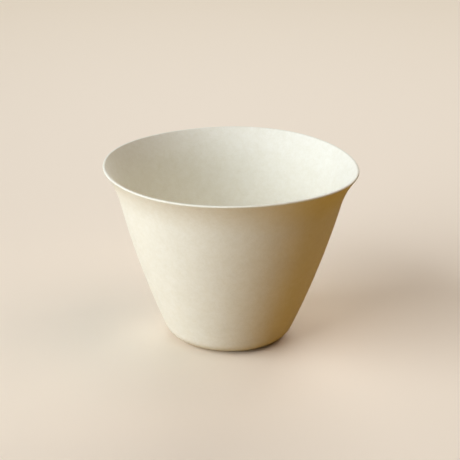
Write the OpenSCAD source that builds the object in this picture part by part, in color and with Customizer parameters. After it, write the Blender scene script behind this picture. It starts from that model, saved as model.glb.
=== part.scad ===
// A sake cup pressed from paper pulp in one piece. It stands on a flat foot with a round edge,
// its body widens upwards in a slight bulge, and its lip curls outwards to a thin rim with round edges.

/* [Cup] */
// Diameter over the rim
rim_d = 73; // [69:0.5:77]
// Height from the foot to the top of the rim
cup_h = 52; // [48:0.5:56]
// Thickness of the pulp, the same all over
wall = 0.75; // [0.5:0.05:1.2]

/* [Foot] */
// Diameter of the flat that the cup stands on
foot_flat_d = 27; // [24:0.5:32]
// Outside radius of the round edge from the foot to the body
foot_edge_r = 6; // [3.5:0.25:7.5]

/* [Body] */
// Outside radius of the body's slight bulge, in the upright section
bulge_r = 260; // [180:5:400]

/* [Lip] */
// Outside radius of the lip's outward curl, in the upright section
lip_curl_r = 27; // [20:1:40]
// Slope of the lip at the rim, in degrees from upright
lip_slope = 36.5; // [28:0.5:42]

/* [Hidden] */

// Warm off-white of bare pulp
pulp_cream = [0.93, 0.90, 0.82];
// Steps along each long arc of the section, along each rounding of the rim, and round the cup
arc_steps = 12;
edge_steps = 6;
turn_steps = 144;

// The rim's two edges are rounded so far that only a narrow level top is left between them.
rim_edge_r = 0.4 * wall;

// The section is drawn as [radius, height]. The rim's outer edge is rounded about this point.
rim_c = [rim_d / 2 - rim_edge_r, cup_h - rim_edge_r];

// The foot's edge turns about a point inside the pulp, and the lip curls about one outside the cup.
foot_c = [foot_flat_d / 2, foot_edge_r];
lip_c = rim_c + (rim_edge_r + lip_curl_r) * [cos(lip_slope), -sin(lip_slope)];

// The rim's inner edge is rounded about a point just as high, which lies one rounding inside the
// pulp from the lip's inner face. There the inner face leans by the brim's slope.
brim_reach = lip_curl_r + wall - rim_edge_r;
brim_slope = asin((rim_c.y - lip_c.y) / brim_reach);
brim_c = lip_c + brim_reach * [-cos(brim_slope), sin(brim_slope)];

// The bulge runs smoothly into both: its arc holds the foot's arc and touches the lip's arc from
// outside. Its centre is where two circles meet, about those two points, on the inner side.
foot_reach = bulge_r - foot_edge_r;
lip_reach = bulge_r + lip_curl_r;
centre_gap = norm(lip_c - foot_c);
centre_line = (lip_c - foot_c) / centre_gap;
along = (foot_reach ^ 2 - lip_reach ^ 2 + centre_gap ^ 2) / (2 * centre_gap);
across = sqrt(foot_reach ^ 2 - along ^ 2);
bulge_c = foot_c + along * centre_line + across * [-centre_line.y, centre_line.x];

// Slope of the body in degrees from upright, just above the foot's edge and just below the lip
foot_slope = asin((bulge_c.y - foot_c.y) / foot_reach);
neck_slope = asin((bulge_c.y - lip_c.y) / lip_reach);

// An arc without its first point, which is the last one of the stretch before it
function arc(centre, radius, from, to, steps = arc_steps) = [
    for (i = [1 : steps])
        let (angle = from + (to - from) * i / steps)
            centre + radius * [cos(angle), sin(angle)]
];

// The line of the outer face from the rim down to the foot
function outer_face() = concat(
    arc(lip_c, lip_curl_r, 180 - lip_slope, 180 - neck_slope),
    arc(bulge_c, bulge_r, -neck_slope, -foot_slope),
    arc(foot_c, foot_edge_r, -foot_slope, -90)
);

// The line of the inner face from the floor up to the rim, one wall away from the outer face
function inner_face() = concat(
    [[foot_c.x, wall]],
    arc(foot_c, foot_edge_r - wall, -90, -foot_slope),
    arc(bulge_c, bulge_r - wall, -foot_slope, -neck_slope),
    arc(lip_c, lip_curl_r + wall, 180 - neck_slope, 180 - brim_slope)
);

// The rim from the inner face to the outer face: an edge, the level top and the other edge
function rim_edge() = concat(
    arc(brim_c, rim_edge_r, 180 - brim_slope, 90, edge_steps),
    [rim_c + [0, rim_edge_r]],
    arc(rim_c, rim_edge_r, 90, -lip_slope, edge_steps)
);

// Half of the cup's section, from the axis outwards
module section() {
    floor_middle = [[0, 0], [0, wall]];
    polygon(concat(outer_face(), floor_middle, inner_face(), rim_edge()));
}

// The cup: one even sheet of pulp, round about the upright axis
module cup() {
    color(pulp_cream)
        rotate_extrude($fn = turn_steps)
            section();
}

cup();
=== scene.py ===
import math

import bpy
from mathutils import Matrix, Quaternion, Vector


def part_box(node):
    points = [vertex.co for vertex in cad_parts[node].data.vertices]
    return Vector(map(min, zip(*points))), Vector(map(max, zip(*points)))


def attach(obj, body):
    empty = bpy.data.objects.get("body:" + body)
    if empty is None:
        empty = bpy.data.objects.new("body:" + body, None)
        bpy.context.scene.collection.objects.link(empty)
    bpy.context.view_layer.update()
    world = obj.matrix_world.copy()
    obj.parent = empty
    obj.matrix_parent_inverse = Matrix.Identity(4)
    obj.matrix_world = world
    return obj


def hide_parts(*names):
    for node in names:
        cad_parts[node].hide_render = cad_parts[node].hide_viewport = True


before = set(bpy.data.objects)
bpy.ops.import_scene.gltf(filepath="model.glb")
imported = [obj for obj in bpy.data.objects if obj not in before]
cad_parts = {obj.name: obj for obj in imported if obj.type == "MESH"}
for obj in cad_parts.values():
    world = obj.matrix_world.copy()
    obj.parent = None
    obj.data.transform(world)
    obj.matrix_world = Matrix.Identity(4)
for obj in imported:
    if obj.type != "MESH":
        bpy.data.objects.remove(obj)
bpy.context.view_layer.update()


# The cup's sheet
# One sheet of paper pulp, sucked from a thin slurry onto a wire form and pressed dry between hot moulds.
# Foot, body, lip and rim are all of that one sheet, nearly equally thick, and it dries a little out of true.

class Wire:
    """A socket of a node tree. Sums on it add Math nodes, and node() adds any other node."""

    def __init__(self, tree, socket=None):
        self.tree = tree
        self.socket = socket

    @staticmethod
    def find(sockets, key):
        if isinstance(key, int):
            return sockets[key]
        return next(s for s in sockets if s.enabled and s.name == key)

    def node(self, kind, settings=None, inputs=None, output=0):
        made = self.tree.nodes.new(kind)
        for name, value in (settings or {}).items():
            setattr(made, name, value)
        for key, value in (inputs or {}).items():
            socket = self.find(made.inputs, key)
            for entry in value if isinstance(value, list) else [value]:
                if isinstance(entry, Wire):
                    self.tree.links.new(entry.socket, socket)
                else:
                    socket.default_value = entry
        return Wire(self.tree, self.find(made.outputs, output) if made.outputs else None)

    def math(self, operation, *terms):
        return self.node("ShaderNodeMath", {"operation": operation}, dict(enumerate(terms)))

    def __add__(self, other):
        return self.math("ADD", self, other)

    def __radd__(self, other):
        return self.math("ADD", other, self)

    def __sub__(self, other):
        return self.math("SUBTRACT", self, other)

    def __rsub__(self, other):
        return self.math("SUBTRACT", other, self)

    def __mul__(self, other):
        return self.math("MULTIPLY", self, other)

    def __rmul__(self, other):
        return self.math("MULTIPLY", other, self)

    def __truediv__(self, other):
        return self.math("DIVIDE", self, other)

    def __rtruediv__(self, other):
        return self.math("DIVIDE", other, self)

    def __neg__(self):
        return self.math("MULTIPLY", self, -1.0)

    def __pow__(self, power):
        return self.math("POWER", self, power)

    def cos(self):
        return self.math("COSINE", self)

    def sin(self):
        return self.math("SINE", self)


MM = 0.001
rim_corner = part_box("cup")[1]
cup_sizes = {
    "Rim Radius": rim_corner.x,
    "Height": rim_corner.z,
    "Wall": 0.75 * MM,
    "Foot Flat Radius": 13.5 * MM,
    "Foot Edge Radius": 6 * MM,
    "Bulge Radius": 260 * MM,
    "Lip Curl Radius": 27 * MM,
    "Lip Slope": math.radians(36.5),
    "Rim Edge Radius": 0.3 * MM,
    "Rim Wave": 0.23 * MM,
    "Rim Wave Turn": math.radians(180),
    "Rim Ripple": 0.29 * MM,
    "Rim Ripple Turn": math.radians(180),
    "Lump Depth": 0.04 * MM,
    "Lump Width": 9 * MM,
    "Seed": 4.0,
}
cup_tree = bpy.data.node_groups.new("pressed_cup", "GeometryNodeTree")
cup_tree.interface.new_socket("Geometry", in_out="OUTPUT", socket_type="NodeSocketGeometry")
size_sockets = {
    name: cup_tree.interface.new_socket(name, in_out="INPUT", socket_type="NodeSocketFloat")
    for name in cup_sizes
}
pulp_socket = cup_tree.interface.new_socket("Pulp", in_out="INPUT", socket_type="NodeSocketMaterial")
group_input = cup_tree.nodes.new("NodeGroupInput")
press = Wire(cup_tree)
size = {name: Wire(cup_tree, group_input.outputs[name]) for name in cup_sizes}
wall = size["Wall"]
bulge_radius = size["Bulge Radius"]
foot_radius = size["Foot Edge Radius"]
lip_radius = size["Lip Curl Radius"]
lip_slope = size["Lip Slope"]
edge_radius = size["Rim Edge Radius"]

# The section's arcs: the foot's edge, the bulge of the body that runs smoothly into it, and the lip.
# A point of the section is a pair, its radius from the axis and its height.
rim_centre = (size["Rim Radius"] - edge_radius, size["Height"] - edge_radius)
foot_centre = (size["Foot Flat Radius"], foot_radius)
lip_centre = (
    rim_centre[0] + (edge_radius + lip_radius) * lip_slope.cos(),
    rim_centre[1] - (edge_radius + lip_radius) * lip_slope.sin(),
)
foot_reach = bulge_radius - foot_radius
lip_reach = bulge_radius + lip_radius
run = lip_centre[0] - foot_centre[0]
rise = lip_centre[1] - foot_centre[1]
gap = (run ** 2 + rise ** 2) ** 0.5
along = (foot_reach ** 2 - lip_reach ** 2 + gap ** 2) / (2 * gap)
across = (foot_reach ** 2 - along ** 2) ** 0.5
bulge_centre = (
    foot_centre[0] + (along * run - across * rise) / gap,
    foot_centre[1] + (along * rise + across * run) / gap,
)
foot_slope = press.math("ARCSINE", (bulge_centre[1] - foot_centre[1]) / foot_reach)
neck_slope = press.math("ARCSINE", (bulge_centre[1] - lip_centre[1]) / lip_reach)

# The rim's outer and inner edges are rounded so far that only a narrow level top is left between them
brim_reach = lip_radius + wall - edge_radius
brim_slope = press.math("ARCSINE", (rim_centre[1] - lip_centre[1]) / brim_reach)
brim_centre = (lip_centre[0] - brim_reach * brim_slope.cos(), rim_centre[1])


def arc(centre, radius, start, end):
    """A stretch of the section that bends about a centre, from one angle to another."""
    def point(share):
        angle = start + (end - start) * share
        return centre[0] + radius * angle.cos(), centre[1] + radius * angle.sin()
    return point


def level(start, end, height):
    """A level stretch of the section, from one radius to another."""
    def point(share):
        return start + (end - start) * share, height
    return point


turn_steps = 288


def swept(steps, point):
    """A stretch of the section swept round the axis, as a net of four-sided faces."""
    net_size = {"Size X": 1.0, "Size Y": 1.0, "Vertices X": turn_steps + 1, "Vertices Y": steps + 1}
    net = press.node("GeometryNodeMeshGrid", inputs=net_size, output="Mesh")
    flat = press.node("GeometryNodeInputPosition")
    turn = (press.node("ShaderNodeSeparateXYZ", inputs={0: flat}, output="X") + 0.5) * math.tau
    share = press.node("ShaderNodeSeparateXYZ", inputs={0: flat}, output="Y") + 0.5
    radius, height = point(share)
    place = {0: radius * turn.cos(), 1: radius * turn.sin(), 2: height}
    wrapped = press.node("ShaderNodeCombineXYZ", inputs=place)
    return press.node("GeometryNodeSetPosition", inputs={"Geometry": net, "Position": wrapped})


# From the middle of the foot out, up the outside, over the rim, down the inside and back to the middle
half_turn = math.pi
quarter_turn = math.pi / 2
flat_steps = 12
foot_steps = 14
body_steps = 50
lip_steps = 22
edge_steps = 6
top_steps = 4
seam_width = 0.004 * MM
stretches = [
    swept(flat_steps, level(0.0, foot_centre[0], 0.0)),
    swept(foot_steps, arc(foot_centre, foot_radius, -quarter_turn, -foot_slope)),
    swept(body_steps, arc(bulge_centre, bulge_radius, -foot_slope, -neck_slope)),
    swept(lip_steps, arc(lip_centre, lip_radius, half_turn - neck_slope, half_turn - lip_slope)),
    swept(edge_steps, arc(rim_centre, edge_radius, -lip_slope, quarter_turn)),
    swept(top_steps, level(rim_centre[0], brim_centre[0], size["Height"])),
    swept(edge_steps, arc(brim_centre, edge_radius, quarter_turn, half_turn - brim_slope)),
    swept(lip_steps, arc(lip_centre, lip_radius + wall, half_turn - brim_slope, half_turn - neck_slope)),
    swept(body_steps, arc(bulge_centre, bulge_radius - wall, -neck_slope, -foot_slope)),
    swept(foot_steps, arc(foot_centre, foot_radius - wall, -foot_slope, -quarter_turn)),
    swept(flat_steps, level(foot_centre[0], 0.0, wall)),
]
sheet = press.node("GeometryNodeJoinGeometry", inputs={"Geometry": stretches})
sheet = press.node("GeometryNodeMergeByDistance", inputs={"Geometry": sheet, "Distance": seam_width})

# Drying warps the rim a little, twice and three times round, and the pulp lies thicker in some places
warp_power = 8
spot = press.node("GeometryNodeInputPosition")
spot_x, spot_y, spot_z = (
    press.node("ShaderNodeSeparateXYZ", inputs={0: spot}, output=axis) for axis in "XYZ"
)
spot_bearing = press.math("ARCTAN2", spot_y, spot_x)
warp = (spot_z / size["Height"]) ** warp_power
twofold = (2 * spot_bearing - size["Rim Wave Turn"]).cos()
threefold = (3 * spot_bearing - size["Rim Ripple Turn"]).cos()
lift = warp * (size["Rim Wave"] * twofold + size["Rim Ripple"] * threefold)
lump_inputs = {"Vector": spot, "W": size["Seed"], "Scale": 1 / size["Lump Width"], "Detail": 2.0}
lump = press.node("ShaderNodeTexNoise", {"noise_dimensions": "4D"}, lump_inputs)

# Half a wall up and higher the lumps swing either way about the true face, and the foot's flat stays flat
off_floor = press.math("GREATER_THAN", spot_z, 0.5 * wall)
swell = (lump - 0.5) * 2 * size["Lump Depth"] * off_floor
outwards = press.node("GeometryNodeInputNormal")
push = press.node("ShaderNodeVectorMath", {"operation": "SCALE"}, {0: outwards, "Scale": swell})
warped = press.node("ShaderNodeCombineXYZ", inputs={"Z": lift})
shift = press.node("ShaderNodeVectorMath", {"operation": "ADD"}, {0: push, 1: warped})
sheet = press.node("GeometryNodeSetPosition", inputs={"Geometry": sheet, "Offset": shift})
sheet = press.node("GeometryNodeSetShadeSmooth", inputs={0: sheet})
sheet = press.node("GeometryNodeRealizeInstances", inputs={0: sheet})
pulp_given = Wire(cup_tree, group_input.outputs["Pulp"])
sheet = press.node("GeometryNodeSetMaterial", inputs={"Geometry": sheet, "Material": pulp_given})
press.node("NodeGroupOutput", inputs={"Geometry": sheet})

# Bare pulp: warm off-white, matt and faintly clouded, with a felt of short fibres
pulp = bpy.data.materials.new("pressed_pulp")
pulp.use_nodes = True
pulp.node_tree.nodes.clear()
felt = Wire(pulp.node_tree)
pulp_spot = felt.node("ShaderNodeTexCoord", output="Object")


def clouds(width, detail=2.0, distortion=0.0):
    """Soft random clouds of about that width, which swing either way about 0."""
    settings = {"Vector": pulp_spot, "Scale": 1 / width, "Detail": detail, "Distortion": distortion}
    return felt.node("ShaderNodeTexNoise", inputs=settings) - 0.5


pulp_pale = (0.945, 0.93, 0.82, 1.0)
pulp_warm = (0.875, 0.85, 0.715, 1.0)
broad_share = 0.7
flock_share = 1.1
speck_share = 0.9
broad = clouds(5 * MM, detail=3.0)
flock = clouds(1.5 * MM)
speck = clouds(0.6 * MM)
mottle = 0.5 + broad_share * broad + flock_share * flock + speck_share * speck
tint = felt.node(
    "ShaderNodeMix", {"data_type": "RGBA"}, {"Factor": mottle, "A": pulp_pale, "B": pulp_warm}, "Result"
)

# The fibres lie along the thin lines where their clouds pass through 0
fibre_sharpness = 14
fibre_line = 2 * clouds(1.6 * MM, detail=1.0, distortion=1.2)
fibre = (1 - felt.math("ABSOLUTE", fibre_line)) ** fibre_sharpness
fibre_height = 0.010 * MM
flock_height = 0.020 * MM
speck_height = 0.012 * MM
relief = speck_height * speck + fibre_height * fibre + flock_height * flock
bump_inputs = {"Strength": 1.0, "Distance": 1.0, "Height": relief}
bump = felt.node("ShaderNodeBump", inputs=bump_inputs, output="Normal")
pulp_roughness = 0.9
roughness_swing = 0.16
surface = felt.node(
    "ShaderNodeBsdfPrincipled",
    inputs={
        "Base Color": tint,
        "Roughness": pulp_roughness + roughness_swing * speck,
        "Specular IOR Level": 0.25,
        "Normal": bump,
    },
)
felt.node("ShaderNodeOutputMaterial", inputs={"Surface": surface})

cup_mesh = bpy.data.meshes.new("cup_sheet")
cup = bpy.data.objects.new("cup_sheet", cup_mesh)
bpy.context.scene.collection.objects.link(cup)
pressing = cup.modifiers.new("pressing", "NODES")
pressing.node_group = cup_tree
for name, socket in size_sockets.items():
    pressing[socket.identifier] = cup_sizes[name]
pressing[pulp_socket.identifier] = pulp
depsgraph = bpy.context.evaluated_depsgraph_get()
cup.data = bpy.data.meshes.new_from_object(cup.evaluated_get(depsgraph))
cup.modifiers.remove(pressing)
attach(cup, "root")
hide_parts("cup")


# The floor
# A plain pale floor, which runs without an edge into surroundings of the same colour.
# It looks paler than the warm light that it throws back onto the cup, and it keeps the cup's shadow.

floor_half = 3.0
floor_corners = [(-1, -1), (1, -1), (1, 1), (-1, 1)]
floor_mesh = bpy.data.meshes.new("floor")
floor_mesh.from_pydata([(x * floor_half, y * floor_half, 0) for x, y in floor_corners], [], [(0, 1, 2, 3)])
floor = bpy.data.objects.new("floor", floor_mesh)
bpy.context.scene.collection.objects.link(floor)
floor_paint = bpy.data.materials.new("floor_paint")
floor_paint.use_nodes = True
floor_paint.node_tree.nodes.clear()
paint = Wire(floor_paint.node_tree)
floor_seen = (0.95, 0.85, 0.70, 1.0)
floor_thrown = (0.48, 0.27, 0.045, 1.0)
surroundings_seen = (0.70, 0.61, 0.485, 1.0)
fade_start = 0.15
fade_end = 0.70
seen = paint.node("ShaderNodeLightPath", output="Is Camera Ray")
floor_colour = paint.node(
    "ShaderNodeMix", {"data_type": "RGBA"}, {"Factor": seen, "A": floor_thrown, "B": floor_seen}, "Result"
)
floor_surface = paint.node(
    "ShaderNodeBsdfPrincipled",
    inputs={"Base Color": floor_colour, "Roughness": 0.7, "Specular IOR Level": 0.25},
)
floor_spot = paint.node("ShaderNodeTexCoord", output="Object")
way_out = paint.node("ShaderNodeVectorMath", {"operation": "LENGTH"}, {0: floor_spot}, "Value")
fade = paint.node(
    "ShaderNodeMapRange",
    {"interpolation_type": "SMOOTHSTEP"},
    {"Value": way_out, "From Min": fade_start, "From Max": fade_end},
    "Result",
)
far_floor = paint.node("ShaderNodeEmission", inputs={"Color": surroundings_seen})
shown_floor = paint.node("ShaderNodeMixShader", inputs={0: seen * fade, 1: floor_surface, 2: far_floor})
paint.node("ShaderNodeOutputMaterial", inputs={"Surface": shown_floor})
floor_mesh.materials.append(floor_paint)


# The light
# A wide cool panel stands at the left, with a strip at its foot that is too low to shine into the cup.
# A little warm light comes from the upper right, and a low panel lights the cup's back.

middle = Vector((0, 0, rim_corner.z / 2))
panel_distance = 2.0


def soft_panel(name, bearing, tilt, width, height, watts, colour):
    """A soft panel of light that faces the middle of the cup. Its bearing and tilt are in degrees."""
    light = bpy.data.lights.new(name, "AREA")
    light.shape = "RECTANGLE"
    light.size = width
    light.size_y = height
    light.energy = watts
    light.color = colour
    lamp = bpy.data.objects.new(name, light)
    round_angle = math.radians(bearing)
    up_angle = math.radians(tilt)
    towards = Vector((
        math.cos(round_angle) * math.cos(up_angle),
        math.sin(round_angle) * math.cos(up_angle),
        math.sin(up_angle),
    ))
    lamp.location = middle + panel_distance * towards
    lamp.rotation_mode = "QUATERNION"
    lamp.rotation_quaternion = (-towards).to_track_quat("-Z", "Y")
    lamp.visible_camera = False
    bpy.context.scene.collection.objects.link(lamp)


soft_panel(
    "left_panel", bearing=209, tilt=24, width=2.0, height=2.0, watts=58.2, colour=(0.865, 0.915, 1.0)
)
soft_panel(
    "low_strip", bearing=218, tilt=0, width=1.2, height=0.05, watts=3.9, colour=(0.62, 0.95, 1.0)
)
soft_panel(
    "right_panel", bearing=0, tilt=63, width=1.6, height=1.6, watts=15.0, colour=(1.0, 0.84, 0.73)
)
soft_panel(
    "back_panel", bearing=84, tilt=15, width=1.4, height=1.0, watts=21.0, colour=(0.97, 0.97, 0.95)
)

# The surroundings look as pale as the far floor, and give no light of their own
world = bpy.data.worlds.new("surroundings")
world.use_nodes = True
world.node_tree.nodes.clear()
air = Wire(world.node_tree)
looked_at = air.node("ShaderNodeLightPath", output="Is Camera Ray")
backdrop = air.node("ShaderNodeBackground", inputs={"Color": surroundings_seen, "Strength": looked_at})
air.node("ShaderNodeOutputWorld", inputs={"Surface": backdrop})
bpy.context.scene.world = world


# The camera
# It looks down on the cup from the front, with a long lens and a very slight tilt.

picture_width = 460
focal_pixels = 1376.8
camera_distance = 400 * MM
camera_height_angle = math.radians(20.98)
camera_roll = math.radians(0.924)
look_at = Vector((-0.03, 0, 31.747)) * MM
camera = bpy.data.cameras.new("camera")
camera.sensor_width = 36
camera.lens = focal_pixels / picture_width * camera.sensor_width
camera.clip_start = 0.01
camera_stand = bpy.data.objects.new("camera", camera)
looking = Vector((0, math.cos(camera_height_angle), -math.sin(camera_height_angle)))
camera_stand.location = look_at - camera_distance * looking
camera_stand.rotation_mode = "QUATERNION"
camera_stand.rotation_quaternion = looking.to_track_quat("-Z", "Y") @ Quaternion((0, 0, 1), camera_roll)
bpy.context.scene.collection.objects.link(camera_stand)
bpy.context.scene.camera = camera_stand
bpy.context.scene.view_settings.view_transform = "Standard"
